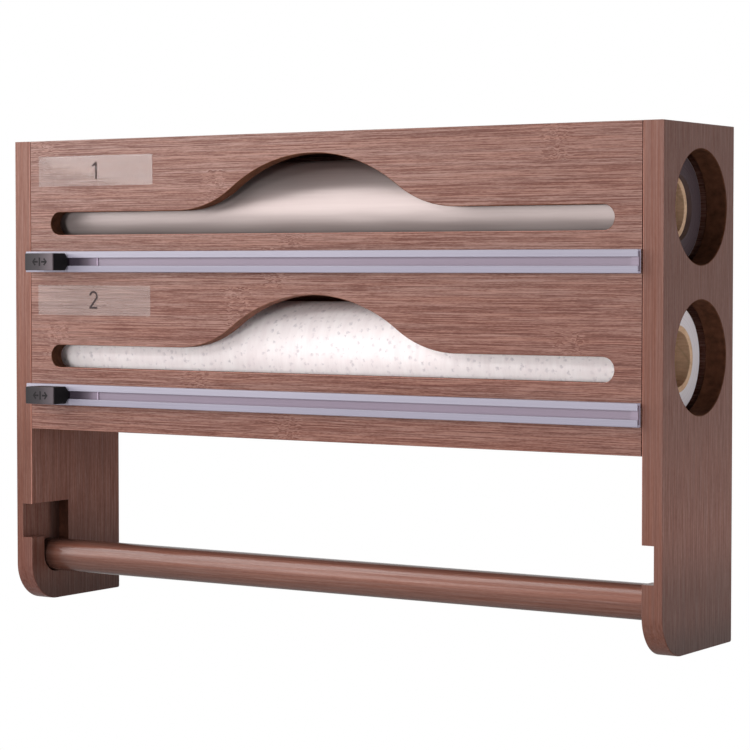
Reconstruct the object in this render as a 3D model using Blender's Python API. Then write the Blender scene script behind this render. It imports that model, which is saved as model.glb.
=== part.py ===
# Wall dispenser for foil and cling film, with a paper towel rod.
#
# The case is measured from three planes: x from its middle, y from the front edges of the side
# panels towards the wall, and z from the bottom of the side panels. Every piece hangs on the
# empty case_frame, which moves that corner so that the world's origin lies on the wall, in the
# middle of the back board. Metres, +Z up, -Y towards the user.

import math

import bmesh
import bpy
from mathutils import Vector

mm = 0.001

# Case
bay_width = 378 * mm            # between the side panels
side_thickness = 11 * mm
front_thickness = 8 * mm
shelf_thickness = 9 * mm
back_thickness = 6 * mm
glue_gap = 0.3 * mm             # left between pieces that are glued together
board_ease = 0.5 * mm           # broken edges of the boards
hole_ease = 0.6 * mm            # broken edges of the roll holes and outlets
foot_radius = 21 * mm           # front lower corner of a side panel
foot_segments = 10
heel_radius = 1.2 * mm          # back lower corner
heel_segments = 3
towel_bay_height = 96.5 * mm    # from the floor of the case to the front panel's lower edge
front_skirt = 8.9 * mm          # front panel below the bottom shelf
head_room = 2.9 * mm            # above the upper roll hole
top_reveal = 0.5 * mm           # top and back boards below the top of the other panels

# Roll bays
hole_radius = 27.8 * mm
hole_segments = 60
hole_web = 17 * mm              # wood between the two holes
room_before_roll = 4.5 * mm     # from the front panel to the line of the holes
room_behind_roll = 2.4 * mm
rest_gap = 0.3 * mm             # under whatever lies loose

# Outlets in the front panel
outlet_height = 12.4 * mm
outlet_drop = 5.2 * mm          # middle of the outlet below the roll's axis
outlet_margin = 14.9 * mm       # from the outlet's end to the side panel
outlet_end_segments = 10
wave_rise = 28.4 * mm
wave_crown_radius = 86 * mm
wave_foot_radius = 58.4 * mm
wave_segments = 9               # along each arc of the wave

# Rolls
foil_play = 0.4 * mm            # roll radius below the hole radius
film_play = 1.2 * mm
roll_end_play = 2.4 * mm
foil_core_inset = 2.4 * mm      # the foil's core ends inside the winding
film_core_proud = 1.1 * mm      # the film's core stands out of it
core_radius = 16.6 * mm
core_wall = 3 * mm
core_fit = 0.3 * mm
roll_ease = 0.5 * mm
roll_segments = 60
core_segments = 36

# Glued dowels
dowel_radius = 3 * mm
dowel_fit = 0.2 * mm
dowel_in_side = 7 * mm
dowel_in_board = 13 * mm
dowel_end_room = 0.5 * mm
dowel_chamfer = 0.8 * mm
dowel_segments = 10
dowel_inset = 14 * mm           # from a shelf's front or back edge

# Keyholes in the back board
keyhole_head_radius = 4.5 * mm
keyhole_neck_radius = 2.3 * mm
keyhole_rise = 9 * mm           # from the head's centre to the neck's
keyhole_spacing = 240 * mm
keyhole_from_top = 32 * mm
keyhole_segments = 16

# Towel rod and its seats
rod_radius = 8.95 * mm
rod_segments = 32
rod_end_chamfer = 1 * mm
rod_end_play = 0.4 * mm
rod_from_front = 20.7 * mm
seat_play = 1.15 * mm
seat_floor = 15.5 * mm          # lowest point of the seat above the case's floor
seat_drop = 20.3 * mm           # from the lip's top down to the seat's lowest point
seat_segments = 12
mouth_play = 0.7 * mm
pocket_depth = 6.6 * mm

# Cutter rails
rail_below_outlet = 9 * mm
rail_height = 11.4 * mm
rail_depth = 3.5 * mm
rail_web = 1 * mm
rail_lip = 0.9 * mm
rail_wall = 1.1 * mm
rail_slot = 4.3 * mm            # open between the two lips
rail_round = 0.35 * mm
tape_thickness = 0.6 * mm
tape_gap = 0.2 * mm
tape_inset = 1 * mm
stop_length = 4 * mm
stop_fit = 0.3 * mm

# Cutter sliders
shoe_heel = 16.3 * mm           # from the grip's middle to the shoe's left end
shoe_tail = 28.9 * mm           # and to its right end
shoe_thickness = 1 * mm
shoe_lead = 2.4 * mm            # the shoe's two ends slope over this length,
shoe_tip = 0.4 * mm             # down to this thickness
shoe_fit = 0.3 * mm
neck_length = 14 * mm
neck_fit = 0.35 * mm
tongue_height = 2.4 * mm
tongue_into_grip = 4 * mm
tongue_fit = 0.25 * mm
grip_length = 19.6 * mm
grip_height = 9.3 * mm
grip_depth = 11.7 * mm
grip_lead = 2.2 * mm            # the grip's foot narrows over this depth,
grip_foot_height = 4.4 * mm     # down to this height
grip_gap = 0.3 * mm
grip_corner = 0.5 * mm
face_thickness = 1.2 * mm
face_seam = 0.2 * mm
face_peg = 3.2 * mm
face_peg_depth = 1.6 * mm
face_peg_fit = 0.2 * mm
blade_thickness = 0.4 * mm
blade_fit = 0.3 * mm
blade_length = 17 * mm
blade_tip_length = 14.8 * mm    # at the blade's end in the rail
blade_into_rail = 1.1 * mm      # below the lips' front face
blade_into_grip = 3.2 * mm
blade_bevel = 0.9 * mm
slider_rest = 0.3 * mm          # between the shoe and the left stop at rest

# Places worked out from the sizes above
side_inner = bay_width / 2
side_outer = side_inner + side_thickness
hole_pitch = 2 * hole_radius + hole_web
bottom_shelf_floor = towel_bay_height + front_skirt
lower_hole_height = bottom_shelf_floor + shelf_thickness + hole_radius
upper_hole_height = lower_hole_height + hole_pitch
boards_top = upper_hole_height + hole_radius + head_room + shelf_thickness
case_height = boards_top + top_reveal
roll_from_front = front_thickness + room_before_roll + hole_radius
back_board_front = roll_from_front + hole_radius + room_behind_roll
case_depth = back_board_front + back_thickness
board_half_length = side_inner - glue_gap
mount_height = (towel_bay_height + boards_top) / 2

seat_radius = rod_radius + seat_play
lip_height = seat_floor + seat_drop
mouth_height = 2 * rod_radius + mouth_play
rod_height = seat_floor + rest_gap + rod_radius

rail_back = -(tape_thickness + 2 * tape_gap)
rail_front = rail_back - rail_depth
rail_drop = outlet_drop + outlet_height / 2 + rail_below_outlet + rail_height / 2
cavity_front = rail_front + rail_lip
cavity_back = rail_back - rail_web
cavity_height = rail_height - 2 * rail_wall
shoe_back = cavity_back - (cavity_back - cavity_front - shoe_thickness) / 2
grip_foot = rail_front - grip_gap
slider_start = -board_half_length + stop_length + slider_rest + shoe_heel

tiers = {"upper": upper_hole_height, "lower": lower_hole_height}

colours = {
    "bamboo": (0.27, 0.135, 0.105, 0.55, 0.0),
    "card": (0.42, 0.27, 0.15, 0.9, 0.0),
    "foil": (0.72, 0.71, 0.71, 0.3, 1.0),
    "film": (0.86, 0.84, 0.84, 0.4, 0.0),
    "rail": (0.52, 0.5, 0.6, 0.4, 0.6),
    "tape": (0.55, 0.55, 0.52, 0.8, 0.0),
    "black plastic": (0.012, 0.012, 0.013, 0.35, 0.0),
    "grey plastic": (0.14, 0.12, 0.15, 0.3, 0.0),
    "grey face": (0.14, 0.13, 0.14, 0.35, 0.7),
    "blade steel": (0.6, 0.6, 0.62, 0.25, 1.0),
}


def clear_scene():
    for old in list(bpy.data.objects):
        bpy.data.objects.remove(old, do_unlink=True)


def finish_material(name):
    material = bpy.data.materials.get(name)
    if material is None:
        red, green, blue, roughness, metallic = colours[name]
        material = bpy.data.materials.new(name)
        material.use_nodes = True
        shader = material.node_tree.nodes["Principled BSDF"]
        shader.inputs["Base Color"].default_value = (red, green, blue, 1)
        shader.inputs["Roughness"].default_value = roughness
        shader.inputs["Metallic"].default_value = metallic
    return material


def add_empty(name, location, parent=None):
    empty = bpy.data.objects.new(name, None)
    empty.location = location
    empty.parent = parent
    bpy.context.scene.collection.objects.link(empty)
    return empty


def add_piece(name, bm, finish, parent, location=(0, 0, 0)):
    bmesh.ops.recalc_face_normals(bm, faces=bm.faces)
    mesh = bpy.data.meshes.new(name)
    bm.to_mesh(mesh)
    bm.free()
    mesh.shade_smooth()
    mesh.set_sharp_from_angle(angle=math.radians(35))
    piece = bpy.data.objects.new(name, mesh)
    piece.location = location
    piece.parent = parent
    if finish:
        mesh.materials.append(finish_material(finish))
    else:
        piece.hide_render = True
        piece.display_type = "WIRE"
    bpy.context.scene.collection.objects.link(piece)
    return piece


def cut(piece, cutter):
    change = piece.modifiers.new(cutter.name, "BOOLEAN")
    change.operation = "DIFFERENCE"
    change.solver = "EXACT"
    change.object = cutter


# Outlines are lists of (u, v) points. Those of plates are functions of an ease, the distance by
# which the wood is cut back there, so that a broken edge is one more ring of the same points.

def arc(centre_u, centre_v, radius, start, end, steps):
    points = []
    for step in range(steps + 1):
        angle = start + (end - start) * step / steps
        points.append((centre_u + radius * math.cos(angle), centre_v + radius * math.sin(angle)))
    return points


def rectangle(u0, u1, v0, v1, ease=0):
    return [(u0 + ease, v0 + ease), (u1 - ease, v0 + ease), (u1 - ease, v1 - ease), (u0 + ease, v1 - ease)]


def circle(centre_u, centre_v, radius, segments):
    return arc(centre_u, centre_v, radius, 0, math.tau, segments)[:-1]


def side_outline(ease):
    foot = arc(foot_radius, foot_radius, foot_radius - ease, math.pi, 1.5 * math.pi, foot_segments)
    heel_centre = case_depth - heel_radius
    heel = arc(heel_centre, heel_radius, heel_radius - ease, 1.5 * math.pi, math.tau, heel_segments)
    top = case_height - ease
    return foot + heel + [(case_depth - ease, top), (ease, top)]


def outlet_outline(axis_height, ease):
    # Round ends, a straight lower edge, and the wave: two foot arcs and a crown arc that meet
    # on the lines through their centres.
    half_height = outlet_height / 2 + ease
    middle = axis_height - outlet_drop
    end = side_inner - outlet_margin - outlet_height / 2
    right = arc(end, middle, half_height, -math.pi / 2, math.pi / 2, outlet_end_segments)
    left = arc(-end, middle, half_height, math.pi / 2, 1.5 * math.pi, outlet_end_segments)
    upper_edge = middle + outlet_height / 2
    span = wave_crown_radius + wave_foot_radius
    foot_place = math.sqrt(span ** 2 - (span - wave_rise) ** 2)
    lean = math.asin(foot_place / span)
    crown_centre = upper_edge + wave_rise - wave_crown_radius
    foot_centre = upper_edge + wave_foot_radius
    foot_radius_here = wave_foot_radius - ease
    crown_radius_here = wave_crown_radius + ease
    low = 1.5 * math.pi
    up = math.pi / 2
    right_foot = arc(foot_place, foot_centre, foot_radius_here, low, low - lean, wave_segments)
    crown = arc(0, crown_centre, crown_radius_here, up - lean, up + lean, 2 * wave_segments)
    left_foot = arc(-foot_place, foot_centre, foot_radius_here, low + lean, low, wave_segments)
    return right + right_foot + crown[1:-1] + left_foot + left


def seat_outline():
    # The pocket seen from the side: a mouth through the front edge, and a round seat behind the lip.
    front = rod_from_front - seat_radius
    back = rod_from_front + seat_radius
    seat_centre = seat_floor + seat_radius
    overrun = seat_radius
    bowl = arc(rod_from_front, seat_centre, seat_radius, math.pi, math.tau, seat_segments)
    ceiling = lip_height + mouth_height
    return [(front, lip_height)] + bowl + [(back, ceiling), (-overrun, ceiling), (-overrun, lip_height)]


def keyhole_outline():
    # A round head with the neck's slot above it.
    half_angle = math.asin(keyhole_neck_radius / keyhole_head_radius)
    start = math.pi / 2 + half_angle
    end = math.pi / 2 - half_angle + math.tau
    head = arc(0, 0, keyhole_head_radius, start, end, keyhole_segments)
    neck = arc(0, keyhole_rise, keyhole_neck_radius, 0, math.pi, keyhole_segments // 2)
    return head + neck


def rail_outline():
    # Section of the rail, (y, z) from the middle of its back: a channel with two lips.
    half = rail_height / 2
    cavity = cavity_height / 2
    slot = rail_slot / 2
    front = -rail_depth
    outer = [(0, -half), (front + rail_round, -half), (front, -half + rail_round)]
    inner = [(front, -slot), (front + rail_lip, -slot), (front + rail_lip, -cavity), (-rail_web, -cavity)]
    lower = outer + inner
    return lower + [(y, -z) for y, z in reversed(lower)]


# Ways to lay a (u, v) outline with its thickness w into the case

def facing_x(u, v, w):
    return Vector((w, u, v))


def facing_y(u, v, w):
    return Vector((u, w, v))


def facing_z(u, v, w):
    return Vector((u, v, w))


def plate(loops, w0, w1, ease, lay):
    # A flat plate between w0 and w1. Each loop is a function of an ease: first the outer edge,
    # then the through holes, all with their edges broken.
    bm = bmesh.new()
    caps = ([], [])
    for loop in loops:
        levels = [(w0, ease), (w0 + ease, 0), (w1 - ease, 0), (w1, ease)]
        rings = [[bm.verts.new(lay(u, v, w)) for u, v in loop(eased)] for w, eased in levels]
        for low, high in zip(rings, rings[1:]):
            for k in range(len(low)):
                bm.faces.new((low[k - 1], low[k], high[k], high[k - 1]))
        for cap, ring in zip(caps, (rings[0], rings[-1])):
            cap.extend(bm.edges.get((ring[k - 1], ring[k])) for k in range(len(ring)))
    for cap in caps:
        bmesh.ops.triangle_fill(bm, use_beauty=True, use_dissolve=False, edges=cap)
    return bm


def prism(outline, w0, w1, lay):
    bm = bmesh.new()
    ring = [bm.verts.new(lay(u, v, w0)) for u, v in outline]
    face = bm.faces.new(ring)
    grown = bmesh.ops.extrude_face_region(bm, geom=[face])
    moved = [item for item in grown["geom"] if isinstance(item, bmesh.types.BMVert)]
    bmesh.ops.translate(bm, verts=moved, vec=lay(0, 0, w1 - w0))
    return bm


def turned(profile, segments):
    # A solid turned about the X axis. The profile is a closed list of (x, radius).
    bm = bmesh.new()
    rings = []
    for step in range(segments):
        angle = math.tau * step / segments
        ring = [bm.verts.new((x, r * math.cos(angle), r * math.sin(angle))) for x, r in profile]
        rings.append(ring)
    for k in range(segments):
        low, high = rings[k - 1], rings[k]
        for n in range(len(profile)):
            bm.faces.new((low[n - 1], low[n], high[n], high[n - 1]))
    return bm


def turned_bar(half_length, radius, chamfer, segments):
    # A round bar along X with chamfered ends, closed by one face at each end.
    bm = bmesh.new()
    stations = [
        (-half_length, radius - chamfer),
        (-half_length + chamfer, radius),
        (half_length - chamfer, radius),
        (half_length, radius - chamfer),
    ]
    rings = []
    for x, r in stations:
        angles = [math.tau * step / segments for step in range(segments)]
        rings.append([bm.verts.new((x, r * math.cos(angle), r * math.sin(angle))) for angle in angles])
    for low, high in zip(rings, rings[1:]):
        for k in range(segments):
            bm.faces.new((low[k - 1], low[k], high[k], high[k - 1]))
    bm.faces.new(rings[0])
    bm.faces.new(rings[-1])
    return bm


# Case

def side_panel(name, side, case):
    loops = [side_outline]
    for height in tiers.values():
        loops.append(lambda ease, height=height: circle(roll_from_front, height, hole_radius + ease, hole_segments))
    inner = side * side_inner
    outer = side * side_outer
    panel = add_piece(name, plate(loops, min(inner, outer), max(inner, outer), board_ease, facing_x), "bamboo", case)
    pocket_end = side * (side_inner + pocket_depth)
    pocket_start = side * (side_inner - pocket_depth)
    pocket = prism(seat_outline(), min(pocket_start, pocket_end), max(pocket_start, pocket_end), facing_x)
    cut(panel, add_piece(name + "_pocket_cutter", pocket, None, case))
    return panel


def front_panel(case):
    loops = [lambda ease: rectangle(-board_half_length, board_half_length, towel_bay_height, case_height, ease)]
    for height in tiers.values():
        loops.append(lambda ease, height=height: outlet_outline(height, ease))
    return add_piece("front_panel", plate(loops, 0, front_thickness, board_ease, facing_y), "bamboo", case)


def keyhole_places():
    height = boards_top - keyhole_from_top
    return [(side * keyhole_spacing / 2, height) for side in (-1, 1)]


def back_board(case):
    loops = [lambda ease: rectangle(-board_half_length, board_half_length, towel_bay_height, boards_top, ease)]
    board = add_piece("back_board", plate(loops, back_board_front, case_depth, board_ease, facing_y), "bamboo", case)
    for number, (x, z) in enumerate(keyhole_places()):
        cutter = prism(keyhole_outline(), back_board_front - back_thickness, case_depth + back_thickness, facing_y)
        cut(board, add_piece(f"keyhole_cutter_{number}", cutter, None, case, (x, 0, z)))
    return board


def shelf(name, underside, case):
    front = front_thickness + glue_gap
    back = back_board_front - glue_gap
    loops = [lambda ease: rectangle(-board_half_length, board_half_length, front, back, ease)]
    return add_piece(name, plate(loops, underside, underside + shelf_thickness, board_ease, facing_z), "bamboo", case)


def dowel(name, side, y, z, side_piece, board, case):
    # One dowel along X across the joint, and its blind hole in both pieces.
    low = side_inner - dowel_in_board
    high = side_inner + dowel_in_side
    middle = side * (low + high) / 2
    half = (high - low) / 2
    bar = turned_bar(half - dowel_end_room, dowel_radius, dowel_chamfer, dowel_segments)
    add_piece(name, bar, "bamboo", case, (middle, y, z))
    drill = turned_bar(half, dowel_radius + dowel_fit, dowel_chamfer, dowel_segments)
    cutter = add_piece(name + "_drill", drill, None, case, (middle, y, z))
    cut(side_piece, cutter)
    cut(board, cutter)


def build_case(case):
    sides = {
        "left": (-1, side_panel("left_side_panel", -1, case)),
        "right": (1, side_panel("right_side_panel", 1, case)),
    }
    front_panel(case)
    back_board(case)
    shelves = {
        "top": boards_top - shelf_thickness,
        "middle": upper_hole_height - hole_radius - shelf_thickness,
        "bottom": bottom_shelf_floor,
    }
    rows = {
        "front": front_thickness + glue_gap + dowel_inset,
        "back": back_board_front - glue_gap - dowel_inset,
    }
    for shelf_name, underside in shelves.items():
        board_name = "top_board" if shelf_name == "top" else shelf_name + "_shelf"
        board = shelf(board_name, underside, case)
        for side_name, (side, panel) in sides.items():
            for row_name, y in rows.items():
                name = f"{shelf_name}_dowel_{side_name}_{row_name}"
                dowel(name, side, y, underside + shelf_thickness / 2, panel, board, case)


# Rolls

def tube_profile(half_length, outer, inner, ease):
    return [
        (-half_length, inner),
        (half_length, inner),
        (half_length, outer - ease),
        (half_length - ease, outer),
        (-half_length + ease, outer),
        (-half_length, outer - ease),
    ]


def roll(name, hole_height, play, core_change, case):
    # The winding lies on its shelf; the core sits in it, shorter or longer by core_change.
    radius = hole_radius - play
    height = hole_height - hole_radius + rest_gap + radius
    spindle = add_empty(name + "_roll_axis", (0, roll_from_front, height), case)
    half = side_inner - roll_end_play
    winding = turned(tube_profile(half, radius, core_radius + core_fit, roll_ease), roll_segments)
    add_piece(name + "_winding", winding, name, spindle)
    core = turned(tube_profile(half + core_change, core_radius, core_radius - core_wall, core_fit), core_segments)
    add_piece(name + "_core", core, "card", spindle)


# Towel rod

def towel_rod(case):
    half = side_inner + pocket_depth - rod_end_play
    bar = turned_bar(half, rod_radius, rod_end_chamfer, rod_segments)
    add_piece("towel_rod", bar, "bamboo", case, (0, rod_from_front, rod_height))


# Cutters

def cutter_rail(tier, height, case):
    half = board_half_length
    rail = prism(rail_outline(), -half, half, facing_x)
    add_piece(tier + "_cutter_rail", rail, "rail", case, (0, rail_back, height))
    tape_half = half - tape_inset
    tape_height = rail_height / 2 - tape_inset
    tape = prism(rectangle(-tape_half, tape_half, -tape_height, tape_height), -tape_thickness, 0, facing_y)
    add_piece(tier + "_rail_tape", tape, "tape", case, (0, -tape_gap, height))
    for side_name, side in (("left", -1), ("right", 1)):
        rail_stop(f"{tier}_rail_stop_{side_name}", side, height, case)


def rail_stop(name, side, height, case):
    # A plate in the end of the channel, behind the lips, that the shoe runs against.
    foot = cavity_height / 2 - stop_fit
    section = rectangle(cavity_front + stop_fit, cavity_back - stop_fit, -foot, foot)
    end = side * board_half_length
    start = side * (board_half_length - stop_length)
    add_piece(name, prism(section, min(start, end), max(start, end), facing_x), "rail", case, (0, 0, height))


def grip_body():
    # A block along -Y from the rail. Its foot narrows above and below, so that the film runs in
    # under it, and its corners are broken.
    bm = bmesh.new()
    reach = grip_length / 2
    half = grip_height / 2
    stations = [
        (grip_foot, grip_foot_height / 2),
        (grip_foot - grip_lead, half),
        (grip_foot - grip_depth, half),
    ]
    rings = []
    for y, rise in stations:
        outline = [
            (-reach + grip_corner, -rise), (reach - grip_corner, -rise),
            (reach, -rise + grip_corner), (reach, rise - grip_corner),
            (reach - grip_corner, rise), (-reach + grip_corner, rise),
            (-reach, rise - grip_corner), (-reach, -rise + grip_corner),
        ]
        rings.append([bm.verts.new((x, y, z)) for x, z in outline])
    for low, high in zip(rings, rings[1:]):
        bmesh.ops.bridge_loops(bm, edges=ring_edges(bm, low) + ring_edges(bm, high))
    bm.faces.new(rings[0])
    bm.faces.new(rings[-1])
    return bm


def ring_edges(bm, ring):
    edges = []
    for k in range(len(ring)):
        edge = bm.edges.get((ring[k - 1], ring[k]))
        edges.append(edge or bm.edges.new((ring[k - 1], ring[k])))
    return edges


def box(x, y0, y1, z):
    return prism(rectangle(-x / 2, x / 2, -z / 2, z / 2), min(y0, y1), max(y0, y1), facing_y)


def slider_shoe(tier, carriage):
    # The foot plate in the channel, sloping at both ends, the neck in the rail's slot, and the
    # tongue in the grip. The slit for the blade splits neck and tongue into two prongs.
    half_foot = cavity_height / 2 - shoe_fit
    half_neck = rail_slot / 2 - neck_fit
    half_tongue = tongue_height / 2
    foot = shoe_back - shoe_thickness
    tongue_end = grip_foot - tongue_into_grip
    upper = [
        (shoe_back, half_foot), (foot, half_foot), (foot, half_neck),
        (rail_front, half_neck), (rail_front, half_tongue), (tongue_end, half_tongue),
    ]
    section = upper + [(y, -z) for y, z in reversed(upper)]
    shoe = prism(section, -shoe_heel, shoe_tail, facing_x)
    shoe_piece = add_piece(tier + "_slider_shoe", shoe, "grey plastic", carriage)
    overrun = neck_length
    for side_name, side, end in (("left", -1, shoe_heel), ("right", 1, shoe_tail)):
        x0, x1 = sorted((side * neck_length / 2, side * (end + overrun)))
        trim = prism(rectangle(tongue_end - overrun, foot, -overrun, overrun), x0, x1, facing_x)
        cut(shoe_piece, add_piece(f"{tier}_neck_trim_{side_name}", trim, None, carriage))
        drop = shoe_thickness - shoe_tip
        slope = [
            (side * (end - shoe_lead), foot), (side * end, foot + drop),
            (side * (end + shoe_lead), foot + 2 * drop), (side * (end + shoe_lead), foot - drop),
            (side * (end - shoe_lead), foot - drop),
        ]
        wedge = prism(slope, -overrun, overrun, facing_z)
        cut(shoe_piece, add_piece(f"{tier}_shoe_slope_{side_name}", wedge, None, carriage))
    slit = blade_thickness + 2 * blade_fit
    slit_floor = rail_front + blade_into_rail + blade_fit
    slit_cutter = box(neck_length + overrun, slit_floor, tongue_end - overrun, slit)
    cut(shoe_piece, add_piece(tier + "_blade_slit", slit_cutter, None, carriage))


def slider_grip(tier, carriage):
    grip = add_piece(tier + "_slider_grip", grip_body(), "black plastic", carriage)
    open_end = grip_foot + tongue_into_grip
    tongue_end = grip_foot - tongue_into_grip - tongue_fit
    socket = box(neck_length + 2 * tongue_fit, open_end, tongue_end, tongue_height + 2 * tongue_fit)
    cut(grip, add_piece(tier + "_tongue_socket", socket, None, carriage))
    blade_end = grip_foot - blade_into_grip - blade_fit
    blade_slot = box(blade_length + 2 * blade_fit, open_end, blade_end, blade_thickness + 2 * blade_fit)
    cut(grip, add_piece(tier + "_blade_socket", blade_slot, None, carriage))
    peg_hole = face_peg + 2 * face_peg_fit
    top = grip_foot - grip_depth
    hole = box(peg_hole, top - face_peg_depth, top + face_peg_depth + face_peg_fit, peg_hole)
    cut(grip, add_piece(tier + "_peg_socket", hole, None, carriage))


def slider_face(tier, carriage):
    # The grey cap on the grip, with a square peg behind it.
    back = grip_foot - grip_depth - face_seam
    half_x = grip_length / 2
    half_z = grip_height / 2
    bm = bmesh.new()
    outer = grip_corner
    cap = [
        (-half_x + outer, -half_z), (half_x - outer, -half_z), (half_x, -half_z + outer),
        (half_x, half_z - outer), (half_x - outer, half_z), (-half_x + outer, half_z),
        (-half_x, half_z - outer), (-half_x, -half_z + outer),
    ]
    shrink_x = (half_x - outer / 2) / half_x
    shrink_z = (half_z - outer / 2) / half_z
    levels = [(back, 1, 1), (back - face_thickness + outer / 2, 1, 1), (back - face_thickness, shrink_x, shrink_z)]
    rings = [[bm.verts.new((x * sx, y, z * sz)) for x, z in cap] for y, sx, sz in levels]
    for low, high in zip(rings, rings[1:]):
        for k in range(len(low)):
            bm.faces.new((low[k - 1], low[k], high[k], high[k - 1]))
    bm.faces.new(rings[-1])
    peg = face_peg / 2
    peg_end = back + face_seam + face_peg_depth
    corners = [(-peg, -peg), (peg, -peg), (peg, peg), (-peg, peg)]
    root = [bm.verts.new((x, back, z)) for x, z in corners]
    tip = [bm.verts.new((x, peg_end, z)) for x, z in corners]
    for k in range(len(root)):
        bm.faces.new((root[k - 1], root[k], tip[k], tip[k - 1]))
    bm.faces.new(tip)
    back_edges = ring_edges(bm, rings[0]) + ring_edges(bm, root)
    bmesh.ops.triangle_fill(bm, use_beauty=True, use_dissolve=False, edges=back_edges)
    add_piece(tier + "_slider_face", bm, "grey face", carriage)


def slider_blade(tier, carriage):
    # A flat blade whose two slanting ends cut, whichever way the slider goes.
    tip = rail_front + blade_into_rail
    root = grip_foot - blade_into_grip
    half_root = blade_length / 2
    half_tip = blade_tip_length / 2
    outline = [(-half_root, root), (half_root, root), (half_tip, tip), (-half_tip, tip)]
    bm = bmesh.new()
    half = blade_thickness / 2
    flat = [(-half_root + blade_bevel, root), (half_root - blade_bevel, root),
            (half_tip - blade_bevel, tip), (-half_tip + blade_bevel, tip)]
    edge = [bm.verts.new((x, y, 0)) for x, y in outline]
    low = [bm.verts.new((x, y, -half)) for x, y in flat]
    high = [bm.verts.new((x, y, half)) for x, y in flat]
    bm.faces.new(low)
    bm.faces.new(high)
    for left, right in ((1, 2), (3, 0)):
        bm.faces.new((edge[left], edge[right], high[right], high[left]))
        bm.faces.new((edge[left], edge[right], low[right], low[left]))
    for left, right in ((0, 1), (2, 3)):
        bm.faces.new((edge[left], high[left], high[right], edge[right], low[right], low[left]))
    add_piece(tier + "_slider_blade", bm, "blade steel", carriage)


def cutter(tier, axis_height, case):
    height = axis_height - rail_drop
    cutter_rail(tier, height, case)
    carriage = add_empty(tier + "_slider_line", (slider_start, 0, height), case)
    slider_shoe(tier, carriage)
    slider_grip(tier, carriage)
    slider_face(tier, carriage)
    slider_blade(tier, carriage)


def build():
    clear_scene()
    case = add_empty("case_frame", (0, -case_depth, -mount_height))
    build_case(case)
    roll("foil", upper_hole_height, foil_play, -foil_core_inset, case)
    roll("film", lower_hole_height, film_play, film_core_proud, case)
    towel_rod(case)
    for tier, axis_height in tiers.items():
        cutter(tier, axis_height, case)
    bpy.context.view_layer.update()


build()
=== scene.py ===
# Looks of the wall dispenser for foil and cling film.
#
# Places in the case are given in millimetres: x from the middle, y from the front edges of the side
# panels towards the wall, z from the bottom of the side panels. inCase turns them into the scene's
# metres, where the origin lies on the wall in the middle of the back board.

import math

import bmesh
import bpy
from mathutils import Matrix, Vector, noise


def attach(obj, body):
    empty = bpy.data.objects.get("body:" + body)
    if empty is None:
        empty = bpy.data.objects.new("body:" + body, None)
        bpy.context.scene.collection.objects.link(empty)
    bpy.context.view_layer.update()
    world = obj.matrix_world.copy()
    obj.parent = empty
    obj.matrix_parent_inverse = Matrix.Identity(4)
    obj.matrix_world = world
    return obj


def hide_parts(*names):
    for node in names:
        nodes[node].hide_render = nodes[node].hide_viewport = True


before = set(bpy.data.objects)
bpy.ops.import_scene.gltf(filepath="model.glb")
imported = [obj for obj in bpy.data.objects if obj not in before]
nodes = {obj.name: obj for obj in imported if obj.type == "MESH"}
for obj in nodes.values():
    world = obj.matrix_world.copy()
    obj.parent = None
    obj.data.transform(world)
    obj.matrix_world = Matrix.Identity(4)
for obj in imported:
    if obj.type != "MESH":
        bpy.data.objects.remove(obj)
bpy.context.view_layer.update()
mm = 0.001

case = {
    "half": 200,            # to the outer faces of the side panels
    "inner": 189,           # to their inner faces
    "boardHalf": 188.7,     # of the boards and rails between them
    "height": 255,
    "depth": 76.5,
    "mountHeight": 175.5,   # where the origin lies
    "panelBottom": 96.5,    # lower edge of the front panel and the back board
    "holeFromFront": 40.3,
    "holeHeights": {"foil": 214.8, "film": 142.2},
    "railHeights": {"upper": 188.7, "lower": 116.1},
}


def inCase(x, y, z):
    return Vector((x, y - case["depth"], z - case["mountHeight"])) * mm


# Camera

camera = {
    "place": (0.73099, -1.13455, 0.01102),
    "turn": (87.711, 0, 33.134),
    "lens": 120.48,
    "shift": (-0.00406, -0.0118),
}
lens = bpy.data.cameras.new("photoCamera")
lens.lens = camera["lens"]
lens.sensor_width = 36
lens.shift_x, lens.shift_y = camera["shift"]
lens.clip_end = 50
cameraRig = bpy.data.objects.new("photoCamera", lens)
cameraRig.location = camera["place"]
cameraRig.rotation_euler = [math.radians(angle) for angle in camera["turn"]]
bpy.context.scene.collection.objects.link(cameraRig)
bpy.context.scene.camera = cameraRig
bpy.context.scene.view_settings.view_transform = "Standard"
print("camera set")


# Finishes

def newFinish(name):
    # The material, its nodes, its shader, and the place on the piece in metres.
    finish = bpy.data.materials.new(name)
    finish.use_nodes = True
    tree = finish.node_tree
    return finish, tree, tree.nodes["Principled BSDF"], add(tree, "TexCoord").outputs["Object"]


def add(tree, kind, values=None, **settings):
    # One shader node. A value is a number, a colour, or the output that feeds the input.
    node = tree.nodes.new("ShaderNode" + kind)
    for key, value in settings.items():
        setattr(node, key, value)
    for key, value in (values or {}).items():
        if isinstance(value, bpy.types.NodeSocket):
            tree.links.new(value, node.inputs[key])
        else:
            node.inputs[key].default_value = value
    return node


def link(tree, output, target):
    tree.links.new(output, target)


def sums(tree, operation, first, second=0.0, third=0.0):
    return add(tree, "Math", {0: first, 1: second, 2: third}, operation=operation).outputs[0]


def ramp(tree, factor, stops, smooth=False):
    # stops: (place, colour or grey level)
    node = add(tree, "ValToRGB", {"Fac": factor})
    node.color_ramp.interpolation = "EASE" if smooth else "LINEAR"
    elements = node.color_ramp.elements
    while len(elements) < len(stops):
        elements.new(0.5)
    for element, (place, tone) in zip(elements, sorted(stops)):
        element.position = place
        element.color = (*tone, 1) if isinstance(tone, (tuple, list)) else (tone, tone, tone, 1)
    return node.outputs["Color"]


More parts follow.
